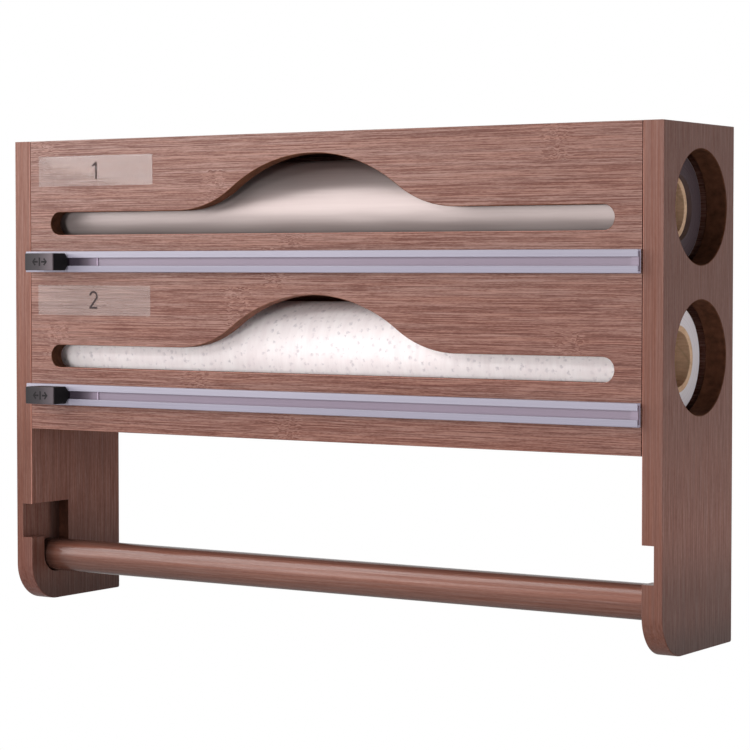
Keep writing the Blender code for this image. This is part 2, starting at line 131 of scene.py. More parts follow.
def mix(tree, factor, first, second, blend="MIX"):
    node = add(tree, "Mix", data_type="RGBA", blend_type=blend)
    for index, value in ((0, factor), (6, first), (7, second)):
        if isinstance(value, bpy.types.NodeSocket):
            tree.links.new(value, node.inputs[index])
        elif index == 0:
            node.inputs[0].default_value = value
        else:
            node.inputs[index].default_value = (*value, 1)
    return node.outputs[2]


def cloud(tree, place, scale, detail=2.0, rough=0.5, warp=0.0):
    # Noise with its own scale on each axis, in features per metre.
    stretched = add(tree, "Mapping", {"Vector": place, "Scale": scale}).outputs["Vector"]
    settings = {"Vector": stretched, "Scale": 1.0, "Detail": detail, "Roughness": rough,
                "Distortion": warp}
    return add(tree, "TexNoise", settings).outputs["Fac"]


def along(axis, far, across):
    # Scale vector with one value along the grain and another across it.
    return tuple(far if name == axis else across for name in "xyz")


def nudged(tree, place, chance, reach):
    # The place moved either way by half the reach at most. chance: a noise's colour
    offset = add(tree, "VectorMath", {0: chance, 1: (0.5, 0.5, 0.5)}, operation="SUBTRACT").outputs[0]
    return add(tree, "VectorMath", {0: offset, 1: reach, 2: place}, operation="MULTIPLY_ADD").outputs[0]


def between(tree, value, low, high, first=0.0, last=1.0, **settings):
    # first where the value is low or less, last where it is high or more
    limits = {"Value": value, "From Min": low, "From Max": high, "To Min": first, "To Max": last}
    return add(tree, "MapRange", limits, **settings).outputs["Result"]


def shade(colour, factor):
    # factor: one number, or one for each of red, green and blue
    factors = factor if isinstance(factor, tuple) else (factor,) * 3
    return tuple(part * by for part, by in zip(colour, factors))


def spread(tree, factor, low, high):
    # Most of a noise lies between 0.3 and 0.7: low at the one, high at the other.
    return ramp(tree, factor, [(0.3, low), (0.7, high)])


def emboss(tree, shader, height, strength, distance=0.0001):
    relief = {"Strength": strength, "Distance": distance, "Height": height}
    link(tree, add(tree, "Bump", relief).outputs["Normal"], shader.inputs["Normal"])


def cover(tree, shader, colour, sheen, rough):
    # rough: a number, or the output that feeds it
    link(tree, colour, shader.inputs["Base Color"])
    shader.inputs["Specular IOR Level"].default_value = sheen
    if isinstance(rough, bpy.types.NodeSocket):
        link(tree, rough, shader.inputs["Roughness"])
    else:
        shader.inputs["Roughness"].default_value = rough


bambooLook = {
    "tone": (0.216, 0.092, 0.067),
    "light": (1.50, 1.86, 2.05),    # of the tone: the pale fibres are greyer,
    "dark": (0.54, 0.30, 0.215),    # the dark ones redder
    "redder": (1.02, 0.95, 0.90),   # threads of another hue
    "greyer": (0.98, 1.05, 1.10),
    "scorchShade": (0.028, 0.0098, 0.006),
    "cut": (0.090, 0.036, 0.020),
    "sway": 0.0004,                 # how far the fibres leave the straight line, in metres
}
grainParts = {"fibres": 0.65, "threads": 0.55, "flecks": 0.25, "bands": 0.08, "slow": 0.07, "mean": 0.8}


def bambooFinish(name, grain, contrast, rough, sheen, tint=1.0, length=60, width=1400, lightAndShade=None,
                 joints=False):
    # Stained bamboo: short fine fibres along the grain, longer threads, slow bands, growth joints.
    # length and width: fibres per metre along the grain and across it
    # the table after width: painted light and shade, for an axis, along it, as parts of the wood's tone
    finish, tree, shader, place = newFinish(name)
    sway = add(tree, "TexNoise", {"Vector": place, "Scale": 24.0, "Detail": 1.0}).outputs["Color"]
    bent = nudged(tree, place, sway, (bambooLook["sway"],) * 3)
    near = jointPlaces(tree, place) if joints else None
    if joints:
        bent = waved(tree, place, bent, near)
    fibres = cloud(tree, bent, along(grain, length, width), 2.0, 0.55)
    threads = cloud(tree, bent, along(grain, length * 0.2, width * 0.9), 1.0)
    flecks = cloud(tree, bent, along(grain, length * 7, width), 1.0)
    bands = cloud(tree, bent, along(grain, 9, 300))
    slow = cloud(tree, place, along(grain, 5, 26), 1.0)
    height = sums(tree, "MULTIPLY", fibres, grainParts["fibres"])
    height = sums(tree, "MULTIPLY_ADD", threads, grainParts["threads"], height)
    height = sums(tree, "MULTIPLY_ADD", flecks, grainParts["flecks"], height)
    tone = sums(tree, "MULTIPLY_ADD", bands, grainParts["bands"], height)
    tone = sums(tree, "MULTIPLY_ADD", slow, grainParts["slow"], tone)
    tone = sums(tree, "MULTIPLY_ADD", sums(tree, "SUBTRACT", tone, grainParts["mean"]), contrast, 0.5)
    if joints:
        tone = sums(tree, "MULTIPLY_ADD", near, joint["pale"], tone)
    base = shade(bambooLook["tone"], tint)
    dark, light = shade(base, bambooLook["dark"]), shade(base, bambooLook["light"])
    colour = ramp(tree, tone, [(0, dark), (0.5, base), (1, light)])
    hue = spread(tree, cloud(tree, bent, along(grain, 16, 620)), bambooLook["redder"], bambooLook["greyer"])
    colour = mix(tree, 1.0, colour, hue, "MULTIPLY")
    for axis, tones in (lightAndShade or {}).items():
        colour = mix(tree, 1.0, colour, shadedAlong(tree, place, axis, tones), "MULTIPLY")
    cover(tree, shader, colour, sheen, spread(tree, fibres, rough + 0.08, rough - 0.04))
    emboss(tree, shader, height, 0.5)
    return finish


def shadedAlong(tree, place, axis, tones):
    # Painted light and shade along one axis. tones: (millimetres in the case, part of the wood's tone)
    value = add(tree, "SeparateXYZ", {"Vector": place}).outputs[axis.upper()]
    start, end = tones[0][0], tones[-1][0]
    low, high = [inCase(at, at, at)["xyz".index(axis)] for at in (start, end)]
    stops = [((at - start) / (end - start), part) for at, part in tones]
    return ramp(tree, between(tree, value, low, high), stops, smooth=True)


# Growth joints, in metres. pale: how much lighter the wood is at one
joint = {"slat": 0.0205, "spacing": 0.32, "reach": 0.014, "wave": 0.0022, "waves": 190.0, "pale": 0.05}


def jointPlaces(tree, place):
    # Every slat of the panel has growth joints of its own: 1 in the middle of one, 0 away from it.
    parts = add(tree, "SeparateXYZ", {"Vector": place})
    slat = sums(tree, "FLOOR", sums(tree, "DIVIDE", parts.outputs["Z"], joint["slat"]))
    chance = add(tree, "TexWhiteNoise", {"W": slat}, noise_dimensions="1D").outputs["Value"]
    run = sums(tree, "DIVIDE", parts.outputs["X"], joint["spacing"])
    away = sums(tree, "PINGPONG", sums(tree, "MULTIPLY_ADD", chance, 7.0, run), 0.5)
    reach = joint["reach"] / joint["spacing"]
    return between(tree, away, 0.0, reach, 1.0, 0.0, interpolation_type="SMOOTHSTEP")


def waved(tree, place, bent, near):
    # At a joint the fibres run in small waves.
    settings = {"Vector": place, "Scale": joint["waves"], "Detail": 1.0}
    waves = add(tree, "TexNoise", settings).outputs["Color"]
    return nudged(tree, bent, waves, sums(tree, "MULTIPLY", near, joint["wave"]))


def cutWallFinish(name, tone):
    # Walls of the cut openings, browned by the cutter. Some copies are darker or lighter than that, as
    # painted shade or light: in the rod's pocket, at the outlets' left ends and at the film outlet.
    finish, tree, shader, place = newFinish(name)
    scorch = cloud(tree, place, (260, 260, 260), 3.0, 0.6)
    cover(tree, shader, spread(tree, scorch, shade(tone, 0.75), shade(tone, 1.5)), 0.03, 0.7)
    emboss(tree, shader, scorch, 0.3)
    return finish


# Painted light and shade on the wood, as parts of its tone. The wood is darker towards the feet and towards
# the bottom and right of the front. The sides have a painted pool of light about 60 mm up. The tops of the
# front edges are lighter and greyer, a painted sheen. There is a painted shadow at the back of the rod's
# pocket and at the rod's left end, and the rod's top and bottom are shaded.
paintedShading = {
    "side": {"z": [(0, 0.33), (22, 0.63), (60, 1.10), (85, 1.02), (115, 0.89), (178, 0.76), (255, 0.73)]},
    "front": {
        "z": [(96, (0.905, 0.84, 0.82)), (140, (0.95, 0.90, 0.885)), (190, (0.99, 0.985, 0.98)), (255, 1.0)],
        "x": [(-189, 1.0), (0, (0.995, 0.985, 0.98)), (189, (0.95, 0.91, 0.895))],
    },
    "leftEdge": {
        "z": [(0, (0.68, 0.61, 0.62)), (70, (0.72, 0.665, 0.63)), (150, 1.0), (255, (1.1, 1.18, 1.2))],
    },
    "rightEdge": {"z": [(0, 0.73), (70, 0.86), (150, 0.87), (255, (0.98, 1.03, 1.07))]},
    "pocket": {"y": [(0, 0.86), (20, 0.80), (25.5, 0.26), (31, 0.18)]},
    "rod": {
        "z": [(15.8, 0.50), (20, 0.62), (23, 0.70), (27, 1.0), (31, 1.0), (32.8, 0.6), (33.7, 0.4)],
        "x": [(-195.2, 0.12), (-189, 0.25), (-181, 0.65), (-165, 0.80), (-100, 0.88), (-20, 1.0),
              (195.2, 1.0)],
    },
}
frontTint = (0.862, 0.89, 0.895)
# Where a wood below is given a table from above, that table paints its light and shade.
frontWood = bambooFinish("frontBamboo", "x", 5.8, 0.32, 0.33, frontTint, 60, 3900, paintedShading["front"], True)
sideWood = bambooFinish("sideBamboo", "z", 1.5, 0.42, 0.17, lightAndShade=paintedShading["side"])
leftEdgeWood = bambooFinish("leftEdgeBamboo", "z", 1.4, 0.32, 0.17, 0.86, 40, lightAndShade=paintedShading["leftEdge"])
rightEdgeWood = bambooFinish("rightEdgeBamboo", "z", 0.9, 0.32, 0.17, 0.86, 40, lightAndShade=paintedShading["rightEdge"])
pocketWood = bambooFinish("pocketBamboo", "z", 1.5, 0.42, 0.15, lightAndShade=paintedShading["pocket"])
# A lighter copy of the wood for the rounded arrises: a painted highlight.
arrisHighlightWood = bambooFinish("arrisHighlight", "z", 1.4, 0.35, 0.3, 1.6, 40)
boardWood = bambooFinish("boardBamboo", "x", 2.0, 0.45, 0.15, 0.95, 90, 2100)
rodWood = bambooFinish("rodBamboo", "x", 1.0, 0.17, 0.33, 1.0, 40, 1500, paintedShading["rod"])
# Scorched walls, kept darker in the rod's pocket as painted shade.
scorchShadeWood = cutWallFinish("scorchShadeBamboo", bambooLook["scorchShade"])
cutWood = cutWallFinish("cutBamboo", bambooLook["cut"])
print("bamboo finishes mixed")


# Making pieces

def arc(centreU, centreV, radius, start, end, steps):
    points = []
    for step in range(steps + 1):
        angle = start + (end - start) * step / steps
        points.append((centreU + radius * math.cos(angle), centreV + radius * math.sin(angle)))
    return points


def roundOver(radius, steps=4):
    # Cut back and height of a quarter round, from the face to the side.
    turns = [math.pi / 2 * step / steps for step in range(steps + 1)]
    return [(radius * (1 - math.sin(turn)), radius * (1 - math.cos(turn))) for turn in turns]


def facingX(u, v, w):
    return inCase(w, u, v)


def facingY(u, v, w):
    return inCase(u, w, v)


def board(bm, loops, w0, w1, low, high, lay):
    # A plate whose edges are rounded by low at w0 and by high at w1. The first loop is its rim; the
    # walls of the others take the second material.
    levels = [(w0 + up, back) for back, up in roundOver(low)] if low else [(w0, 0)]
    levels += [(w1 - up, back) for back, up in reversed(roundOver(high))] if high else [(w1, 0)]
    caps = ([], [])
    for number, loop in enumerate(loops):
        rings = [[bm.verts.new(lay(u, v, w)) for u, v in loop(back)] for w, back in levels]
        for lower, upper in zip(rings, rings[1:]):
            for k in range(len(lower)):
                face = bm.faces.new((lower[k - 1], lower[k], upper[k], upper[k - 1]))
                face.material_index = min(number, 1)
        for cap, ring in zip(caps, (rings[0], rings[-1])):
            cap.extend(bm.edges.get((ring[k - 1], ring[k])) for k in range(len(ring)))
    for cap in caps:
        bmesh.ops.triangle_fill(bm, use_beauty=True, use_dissolve=False, edges=cap)


def turned(bm, profile, segments, centre, closed=True, wobble=None):
    # A solid turned about a line along X through centre. wobble(x, angle) adds to the radius.
    middle = inCase(*centre)
    rings = []
    for step in range(segments):
        angle = math.tau * step / segments
        ring = []
        for x, radius in profile:
            reach = (radius + (wobble(x, angle) if wobble else 0)) * mm
            spoke = Vector((x * mm, reach * math.cos(angle), reach * math.sin(angle)))
            ring.append(bm.verts.new(middle + spoke))
        rings.append(ring)
    count = len(profile)
    for k in range(segments):
        lower, upper = rings[k - 1], rings[k]
        for n in range(0 if closed else 1, count):
            bm.faces.new((lower[n - 1], lower[n], upper[n], upper[n - 1]))
    if not closed:
        bm.faces.new([ring[0] for ring in rings])
        bm.faces.new([ring[-1] for ring in rings])


def piece(name, bm, finishes, body, replaced=(), sharp=32, weighted=True):
    # Edges over sharp degrees stay sharp. replaced: the nodes that it stands for
    bmesh.ops.recalc_face_normals(bm, faces=bm.faces)
    mesh = bpy.data.meshes.new(name)
    bm.to_mesh(mesh)
    bm.free()
    mesh.shade_smooth()
    mesh.set_sharp_from_angle(angle=math.radians(sharp))
    for finish in finishes:
        mesh.materials.append(finish)
    made = bpy.data.objects.new(name, mesh)
    bpy.context.scene.collection.objects.link(made)
    if weighted:
        even = made.modifiers.new("evenShading", "WEIGHTED_NORMAL")
        even.keep_sharp = True
    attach(made, body)
    if replaced:
        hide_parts(*replaced)


# Side panels

sidePanel = {
    "round": 0.5,           # broken edges
    "hole": 27.8,
    "holeSteps": 144,
    "foot": 21,
    "heel": 1.2,
    "seatFront": 10.6,      # back of the lip that holds the rod
    "seatBack": 30.8,
    "seatFloor": 15.5,
    "lip": 35.8,
    "ceiling": 54.4,
    "pocket": 6.6,          # how deep the rod's pocket is
    "near": 0.6,            # walls this near the pocket's outline are its own,
    "scorchShadeFrom": 9.5,       # scorched and darkened as painted shade behind the front of its lip,
    "scorchShadeBelow": 2,        # and up to this far under its ceiling
}


def sideRim(back, notch=False):
    # The outline from the side, with the rod's pocket cut in from the front if there is a notch.
    look = sidePanel
    depth, top = case["depth"], case["height"]
    foot = arc(look["foot"], look["foot"], look["foot"] - back, math.pi, 1.5 * math.pi, 28)
    heel = arc(depth - look["heel"], look["heel"], look["heel"] - back, 1.5 * math.pi, math.tau, 8)
    rim = foot + heel + [(depth - back, top - back), (back, top - back)]
    if notch:
        radius = (look["seatBack"] - look["seatFront"]) / 2
        middle = (look["seatBack"] + look["seatFront"]) / 2
        bowl = arc(middle, look["seatFloor"] + radius, radius + back, math.tau, math.pi, 32)
        rim += [(back, look["ceiling"] + back), (look["seatBack"] + back, look["ceiling"] + back)]
        rim += bowl + [(look["seatFront"] - back, look["lip"] - back), (back, look["lip"] - back)]
    return rim


def rollHoles():
    look = sidePanel

    def hole(height):
        def loop(back):
            radius = look["hole"] + back
            return arc(case["holeFromFront"], height, radius, 0, math.tau, look["holeSteps"])[:-1]
        return loop
    return [hole(height) for height in case["holeHeights"].values()]


def makeSide(name, side):
    # Two layers: the outer one is whole, the inner one has the rod's pocket in its outline.
    look = sidePanel
    pocketFloor = side * (case["inner"] + look["pocket"])
    bm = bmesh.new()
    outer = [side * case["half"], pocketFloor]
    inner = [pocketFloor, side * case["inner"]]
    for (start, end), notch in ((outer, False), (inner, True)):
        loops = [lambda back, notch=notch: sideRim(back, notch)] + rollHoles()
        w0, w1 = min(start, end), max(start, end)
        low = look["round"] if w0 in (-case["half"], case["inner"]) else 0
        high = look["round"] if w1 in (case["half"], -case["inner"]) else 0
        board(bm, loops, w0, w1, low, high, facingX)
    for face in bm.faces:
        if not face.material_index:
            face.material_index = sidePart(face, side)
    edge = leftEdgeWood if side < 0 else rightEdgeWood
    finishes = [sideWood, cutWood, edge, pocketWood, scorchShadeWood, arrisHighlightWood]
    piece(name, bm, finishes, "case", [name])


def sidePart(face, side):
    # 0 side face, 2 edge, 3 floor of the pocket, with a painted shadow by its back wall, 4 its walls,
    # scorched and darkened as painted shade, 5 arris beside the front panel, with a painted highlight
    look = sidePanel
    middle = face.calc_center_median()
    depth = side * middle.x / mm - case["inner"]
    y, z = middle.y / mm + case["depth"], middle.z / mm + case["mountHeight"]
    if abs(face.normal.x) > 0.9:
        return 3 if abs(depth - look["pocket"]) < 0.01 else 0
    behindLip = look["scorchShadeFrom"] < y < look["seatBack"] + look["near"] and depth < look["pocket"] - 0.05
    if behindLip and look["seatFloor"] - look["near"] < z < look["ceiling"] - look["scorchShadeBelow"]:
        return 4
    arris = depth < look["round"] and y < look["round"] and z > case["panelBottom"]
    return 5 if arris else 2


for sideName, side in (("left", -1), ("right", 1)):
    makeSide(sideName + "_side_panel", side)
print("side panels made")


# Front panel

frontPanel = {
    "thickness": 8,
    "round": 0.3,
    "outletHalf": 6.2,
    "outletEnd": 167.9,     # centres of the outlet's round ends
    "outletDrop": 5.2,      # of its middle under the roll's
    "highlightPart": 0.9,        # of its half height: the arris from here down carries a painted highlight
    "rise": 28.4,           # the wave
    "crown": 86,
    "foot": 58.4,
}


def panelRim(top):
    def loop(back):
        half, low, high = case["boardHalf"] - back, case["panelBottom"] + back, top - back
        return [(-half, low), (half, low), (half, high), (-half, high)]
    return loop


def outlet(axisHeight):
    look = frontPanel

    def loop(back):
        half = look["outletHalf"] + back
        middle = axisHeight - look["outletDrop"]
        edge = middle + look["outletHalf"]
        span = look["crown"] + look["foot"]
        place = math.sqrt(span ** 2 - (span - look["rise"]) ** 2)
        lean = math.asin(place / span)
        right = arc(look["outletEnd"], middle, half, -math.pi / 2, math.pi / 2, 28)
        left = arc(-look["outletEnd"], middle, half, math.pi / 2, 1.5 * math.pi, 28)
        down, up = 1.5 * math.pi, math.pi / 2
        rightFoot = arc(place, edge + look["foot"], look["foot"] - back, down, down - lean, 28)
        crown = arc(0, edge + look["rise"] - look["crown"], look["crown"] + back, up - lean, up + lean, 64)
        leftFoot = arc(-place, edge + look["foot"], look["foot"] - back, down + lean, down, 28)
        return right + rightFoot + crown[1:-1] + leftFoot + left
    return loop


def outletPart(face):
    # 1 wall of the foil outlet, 2 lower arris with a painted highlight, 3 left round end, darkened as
    # painted shade, 4 wall of the film outlet, lightened as painted light thrown back by the white film
    look = frontPanel
    middle = face.calc_center_median()
    height = middle.z / mm + case["mountHeight"]
    axis = min(case["holeHeights"].values(), key=lambda at: abs(at - height))
    highlit = height < axis - look["outletDrop"] - look["highlightPart"] * look["outletHalf"]
    if highlit and middle.y / mm + case["depth"] < look["round"]:
        return 2
    if middle.x / mm < -look["outletEnd"]:
        return 3
    return 4 if height < case["railHeights"]["upper"] else 1


bm = bmesh.new()
outlets = [outlet(height) for height in case["holeHeights"].values()]
rim = panelRim(case["height"])
board(bm, [rim] + outlets, 0, frontPanel["thickness"], frontPanel["round"], frontPanel["round"], facingY)
for face in bm.faces:
    if face.material_index:
        face.material_index = outletPart(face)
outletWood = cutWallFinish("outletBamboo", shade(bambooLook["cut"], 1.3))
# The left round ends are darker, as painted shade, and the film outlet's walls lighter, as painted light
# from the white film.
outletEndShadeWood = cutWallFinish("outletEndShadeBamboo", shade(bambooLook["cut"], 0.7))
filmOutletLightWood = cutWallFinish("filmOutletLitBamboo", shade(bambooLook["cut"], (2.0, 2.3, 2.9)))
panelFinishes = [frontWood, outletWood, arrisHighlightWood, outletEndShadeWood, filmOutletLightWood]
piece("front_panel", bm, panelFinishes, "case", ["front_panel"])
print("front panel made")


# Back board with its keyholes

backBoard = {
    "front": 70.5,
    "top": 254.5,
    "round": 0.4,
    "spread": 120,          # of a keyhole from the middle
    "height": 222.5,
    "head": 4.5,
    "neck": 2.3,
    "rise": 9,
}


def keyhole(x):
    def loop(back):
        look = backBoard
        head, neck = look["head"] + back, look["neck"] + back
        half = math.asin(neck / head)
        bulb = arc(x, look["height"], head, math.pi / 2 + half, math.pi / 2 - half + math.tau, 48)
        return bulb + arc(x, look["height"] + look["rise"], neck, 0, math.pi, 16)
    return loop


bm = bmesh.new()
loops = [panelRim(backBoard["top"]), keyhole(-backBoard["spread"]), keyhole(backBoard["spread"])]
board(bm, loops, backBoard["front"], case["depth"], backBoard["round"], backBoard["round"], facingY)
piece("back_board", bm, [boardWood, scorchShadeWood], "case", ["back_board"])
print("back board made")


# Towel rod

rod = {"radius": 8.95, "half": 195.2, "end": 1.2, "place": (0, 20.7, 24.75)}
endRound = [(-rod["half"] + up, rod["radius"] - back) for back, up in roundOver(rod["end"], 6)]
profile = [(-rod["half"], 0.01)] + endRound
profile += [(-x, radius) for x, radius in reversed(profile)]
bm = bmesh.new()
turned(bm, profile, 96, rod["place"], closed=False)
piece("towel_rod", bm, [rodWood], "towel_rod", ["towel_rod"])
print("towel rod turned")


# Rolls

rolls = {
    "foil": {"radius": 27.4, "height": 214.7, "coreHalf": 184.2, "swell": 0.10, "freeEnd": 1.9},
    "film": {"radius": 26.6, "height": 141.3, "coreHalf": 187.7, "swell": 0.16, "freeEnd": 2.4},
}
winding = {
    "half": 186.6,
    "round": 0.5,
    "step": 0.12,           # from the free end down to the layer under it
    "swells": (0.018, 2.2),  # how close they lie along the roll, per mm, and round it
    "smaller": (0.4, 2.6),  # the height and closeness of smaller ones
    "sink": 0.7,            # keeps the swells under the full radius
    "segments": 180,
    "stations": 72,
}
core = {
    "outer": 16.6,
    "inner": 13.6,
    "gap": 0.3,             # to the winding
    "round": 0.35,
    "pitch": 62,
    "seam": 0.018,          # half its width, as a part of the pitch
    "segments": 96,
}


def fromAxis(tree, place, rollName):
    # The place, measured from the roll's own axis.
    axis = tuple(inCase(0, case["holeFromFront"], rolls[rollName]["height"]))
    return add(tree, "VectorMath", {0: place, 1: axis}, operation="SUBTRACT").outputs[0]


def roundAxis(tree, moved):
    # The parts of such a place, and the angle about the axis.
    parts = add(tree, "SeparateXYZ", {"Vector": moved}).outputs
    return parts, sums(tree, "ARCTAN2", parts["Z"], parts["Y"])


def foilFinish():
    # Soft foil: fine streaks along the roll, light creases, broad patches.
    finish, tree, shader, place = newFinish("softFoil")
    moved = fromAxis(tree, place, "foil")
    streaks = cloud(tree, moved, (9, 320, 320), 3.0, 0.6)
    creases = cloud(tree, moved, (55, 420, 420), 2.0, 0.5, 0.6)
    patches = cloud(tree, moved, (14, 60, 60))
    tone = sums(tree, "MULTIPLY_ADD", streaks, 0.6, sums(tree, "MULTIPLY", patches, 0.4))
    colour = ramp(tree, tone, [(0.32, (0.355, 0.295, 0.285)), (0.66, (0.42, 0.355, 0.345))])
    cover(tree, shader, colour, 0.4, spread(tree, patches, 0.40, 0.46))
    shader.inputs["Metallic"].default_value = 0.6
    emboss(tree, shader, sums(tree, "MULTIPLY_ADD", creases, 0.5, streaks), 0.12, 0.0002)
    return finish


filmLook = {
    "specks": 230.0,        # per metre
    "speckSize": (-0.08, 0.12),
    "speckEdge": 0.22,
    "speckTone": (0.44, 0.40, 0.45),
    "ragged": (700.0, 0.0022),
    "dimples": 420.0,       # per metre
}


def filmFinish():
    # White dimpled film with small ragged grey specks. Those whose size is under 0 hardly show.
    finish, tree, shader, place = newFinish("dimpledFilm")
    moved = fromAxis(tree, place, "film")
    parts, angle = roundAxis(tree, moved)
    length = sums(tree, "MULTIPLY", angle, rolls["film"]["radius"] * mm)
    sheet = add(tree, "CombineXYZ", {"X": parts["X"], "Y": length}).outputs["Vector"]
    scale, reach = filmLook["ragged"]
    settings = {"Vector": sheet, "Scale": scale, "Detail": 1.0}
    ragged = add(tree, "TexNoise", settings, noise_dimensions="2D").outputs["Color"]
    settings = {0: ragged, 1: (reach, reach, 0), 2: sheet}
    torn = add(tree, "VectorMath", settings, operation="MULTIPLY_ADD").outputs[0]
    settings = {"Vector": torn, "Scale": filmLook["specks"], "Randomness": 1.0}
    specks = add(tree, "TexVoronoi", settings, voronoi_dimensions="2D").outputs
    chance = add(tree, "SeparateColor", {"Color": specks["Color"]}).outputs["Red"]
    least, most = filmLook["speckSize"]
    size = sums(tree, "MULTIPLY_ADD", chance, most - least, least)
    dot = between(tree, specks["Distance"], size, sums(tree, "ADD", size, filmLook["speckEdge"]), 1.0, 0.0)
    soft = cloud(tree, moved, (260, 60, 60), 3.0, 0.6)
    base = spread(tree, soft, (0.86, 0.79, 0.80), (0.95, 0.89, 0.895))
    grey = sums(tree, "MULTIPLY", dot, sums(tree, "MULTIPLY_ADD", soft, 1.3, -0.25))
    cover(tree, shader, mix(tree, grey, base, filmLook["speckTone"]), 0.15, 0.5)
    shader.inputs["Subsurface Weight"].default_value = 0.6
    shader.inputs["Subsurface Radius"].default_value = (1, 0.96, 0.97)
    shader.inputs["Subsurface Scale"].default_value = 0.006
    settings = {"Vector": sheet, "Scale": filmLook["dimples"]}
    dimples = add(tree, "TexVoronoi", settings, voronoi_dimensions="2D").outputs["Distance"]
    emboss(tree, shader, sums(tree, "MULTIPLY_ADD", dimples, 0.6, soft), 0.14, 0.0003)
    return finish


def layersFinish(name, dark, light, rollName, rough):
    # The end of a winding: thin layers seen edge on.
    finish, tree, shader, place = newFinish(name)
    parts, angle = roundAxis(tree, fromAxis(tree, place, rollName))
    flat = add(tree, "CombineXYZ", {"Y": parts["Y"], "Z": parts["Z"]}).outputs["Vector"]
    radius = add(tree, "VectorMath", {0: flat}, operation="LENGTH").outputs["Value"]
    spiral = sums(tree, "MULTIPLY_ADD", angle, 0.00012, radius)
    settings = {"W": sums(tree, "MULTIPLY", spiral, 2600.0), "Scale": 1.0, "Detail": 3.0}
    layers = add(tree, "TexNoise", settings, noise_dimensions="1D").outputs["Fac"]
    cover(tree, shader, spread(tree, layers, dark, light), 0.5, rough)
    emboss(tree, shader, layers, 0.4, 0.0002)
    return finish


def cardFinish(rollName):
    # Brown card wound as a spiral: a helical seam and fine fibres.
    finish, tree, shader, place = newFinish("brownCard_" + rollName)
    moved = fromAxis(tree, place, rollName)
    parts, angle = roundAxis(tree, moved)
    turns = sums(tree, "DIVIDE", angle, math.tau)
    run = sums(tree, "MULTIPLY_ADD", parts["X"], 1000 / core["pitch"], turns)
    seam = between(tree, sums(tree, "PINGPONG", run, 0.5), 0.0, core["seam"], 1.0, 0.0)
    pulp = cloud(tree, moved, (160, 700, 700), 4.0, 0.7)
    blots = cloud(tree, moved, (70, 110, 110))
    tone = sums(tree, "MULTIPLY_ADD", blots, 0.5, sums(tree, "MULTIPLY", pulp, 0.5))
    colour = ramp(tree, tone, [(0.34, (0.56, 0.33, 0.195)), (0.64, (0.84, 0.58, 0.385))])
    colour = mix(tree, sums(tree, "MULTIPLY", seam, 0.2), colour, (0.25, 0.14, 0.07))
    cover(tree, shader, colour, 0.2, 0.85)
    emboss(tree, shader, sums(tree, "MULTIPLY_ADD", seam, -0.6, pulp), 0.4, 0.0002)
    return finish


def wound(rollName):
    # The winding isn't quite round: long shallow swells, and a step where the free end lies.
    look = rolls[rollName]
    centre = (0, case["holeFromFront"], look["height"])
    half, radius, inner = winding["half"], look["radius"], core["outer"] + core["gap"]
    ease, stations = winding["round"], winding["stations"]

    def wobble(x, angle):
        (alongRoll, about), (part, closer) = winding["swells"], winding["smaller"]
        point = Vector((x * alongRoll, about * math.cos(angle), about * math.sin(angle) + look["height"]))
        bulge = noise.noise(point) + part * noise.noise(point * closer)
        past = (angle - look["freeEnd"]) % math.tau
        return -look["swell"] * (winding["sink"] + bulge) - winding["step"] * past / math.tau

    rim = []
    for turn in (0, 0.5, 1.05, math.pi / 2):
        rim.append((-half + ease - ease * math.cos(turn), radius - ease + ease * math.sin(turn)))
    body = [(-half + ease + 2 * (half - ease) * n / stations, radius) for n in range(1, stations)]
    profile = [(half, inner), (-half, inner)] + rim + body + [(-x, r) for x, r in reversed(rim)]
    bm = bmesh.new()
    turned(bm, profile, winding["segments"], centre, wobble=wobble)
    for face in bm.faces:
        # 0 outside, 1 end, 2 bore
        middle = face.calc_center_median()
        if (middle.yz - inCase(*centre).yz).length < (inner + 0.5) * mm:
            face.material_index = 2
        elif abs(middle.x) > (half - 0.02) * mm:
            face.material_index = 1
    return bm


def coreMesh(rollName):
    # A tube with broken edges.
    half, ease, cut = rolls[rollName]["coreHalf"], core["round"], core["round"] * 0.3
    outer, inner = core["outer"], core["inner"]
    side = [(half - ease, outer), (half - cut, outer - cut), (half, outer - ease)]
    side += [(half, inner + ease), (half - cut, inner + cut), (half - ease, inner)]
    profile = side + [(-x, r) for x, r in reversed(side)]
    bm = bmesh.new()
    turned(bm, profile, core["segments"], (0, case["holeFromFront"], rolls[rollName]["height"]))
    return bm


foilEnds = layersFinish("foilLayers", (0.032, 0.021, 0.024), (0.10, 0.066, 0.075), "foil", 0.5)
filmEnds = layersFinish("filmLayers", (0.76, 0.70, 0.72), (0.97, 0.91, 0.93), "film", 0.5)
# The bore is lighter than the foil's ends: partly the bare foil, partly painted light where the wall gets
# little.
foilBore = layersFinish("foilBore", (0.10, 0.07, 0.075), (0.15, 0.11, 0.115), "foil", 0.6)
windingFinishes = {
    "foil": [foilFinish(), foilEnds, foilBore],
    "film": [filmFinish(), filmEnds, filmEnds],
}
for rollName, finishes in windingFinishes.items():
    name = rollName + "_winding"
    piece(name, wound(rollName), finishes, rollName + "_roll", [name])
for rollName in rolls:
    name = rollName + "_core"
    piece(name, coreMesh(rollName), [cardFinish(rollName)], rollName + "_roll", [name], sharp=50)
print("rolls wound")


# Cutter rails

rail = {
    "back": -1.0,           # on its tape, in front of the panel
    "depth": 3.5,
    "height": 11.4,
    "slot": 4.3,
    "lip": 0.9,
    "wall": 1.1,
    "web": 1.0,
    "round": 0.5,
    "heel": 0.2,            # bevel of the back edges
    "nose": 0.22,           # round of the lips' inner edges
    "fall": 0.22,           # how far the lips' fronts slope back to their outer edges
    "endStrip": 0.12,       # keeps the shading even up to the sawn ends
}


